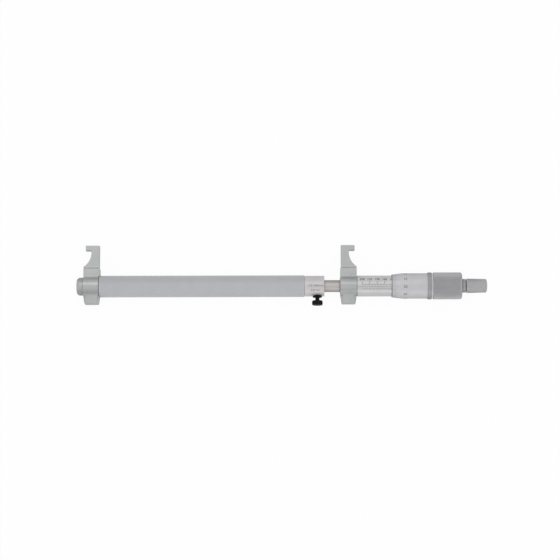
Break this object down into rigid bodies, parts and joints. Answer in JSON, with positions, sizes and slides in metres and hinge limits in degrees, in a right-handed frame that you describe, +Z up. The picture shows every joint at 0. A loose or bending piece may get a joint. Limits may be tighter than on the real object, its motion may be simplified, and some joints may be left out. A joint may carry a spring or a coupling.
{
  "type": "inside micrometer",
  "caption": "Caliper-type inside micrometer: outward-facing jaws, driven apart by a screw with a graduated sleeve and thimble, a ratchet stop and a clamp screw",
  "frame": {"origin": "middle of the tool's outline seen from above, on the surface that it lies on", "axes": "+X along the tool towards the ratchet, +Y towards the jaws' tips, +Z up"},
  "size_m": [0.2745, 0.0408, 0.0182],
  "materials": {
    "jaw_steel": "matt, blasted",
    "grey_paint": "satin",
    "satin_chrome": "satin",
    "ground_steel": "ground",
    "black_steel": "blackened",
    "plain_steel": "machined",
    "brass": "machined"
  },
  "bodies": {
    "frame": {"right_jaw": "jaw_steel", "guide_rod": "ground_steel", "inner_sleeve": "plain_steel", "adjusting_nut": "plain_steel", "graduated_sleeve": "satin_chrome"},
    "slider": {"left_jaw": "jaw_steel", "guide_tube": "grey_paint", "range_collar": "satin_chrome", "key_screw": "plain_steel", "thrust_seat": "plain_steel", "retaining_nut": "plain_steel"},
    "screw": {"push_rod": "plain_steel", "spindle": "plain_steel", "thimble": "satin_chrome", "thimble_nut": "satin_chrome", "ratchet_screw": "black_steel"},
    "ratchet": {"ratchet_knob": "satin_chrome", "ratchet_pawl": "plain_steel", "ratchet_spring": "plain_steel"},
    "pad": {"clamp_pad": "brass"},
    "clamp": {"clamp_screw": "black_steel"}
  },
  "joints": [
    {"name": "jaw_slide", "type": "slide", "parent": "frame", "child": "slider", "axis": [-1, 0, -0.008], "range_m": [-0.0052, 0.0198]},
    {"name": "thimble_turn", "type": "hinge", "parent": "slider", "child": "screw", "pos_m": [0.07355, -0.00712, 0.00881], "axis": [-1, 0, -0.008], "range_deg": [-3744, 14256]},
    {"name": "ratchet_turn", "type": "hinge", "parent": "screw", "child": "ratchet", "pos_m": [0.12335, -0.00712, 0.0092], "axis": [-1, 0, -0.008], "continuous": true},
    {"name": "clamp_travel", "type": "slide", "parent": "slider", "child": "pad", "axis": [-0.0012, -0.9879, 0.1552], "range_m": [0, 0.0005]},
    {"name": "clamp_turn", "type": "hinge", "parent": "pad", "child": "clamp", "pos_m": [0.02389, -0.01394, 0.00948], "axis": [-0.0012, -0.9879, 0.1552], "range_deg": [0, 360]}
  ],
  "couplings": [
    {"joint": "thimble_turn", "follows": "jaw_slide", "rad_per_m": 12566},
    {"joint": "clamp_turn", "follows": "clamp_travel", "rad_per_m": 12566}
  ]
}
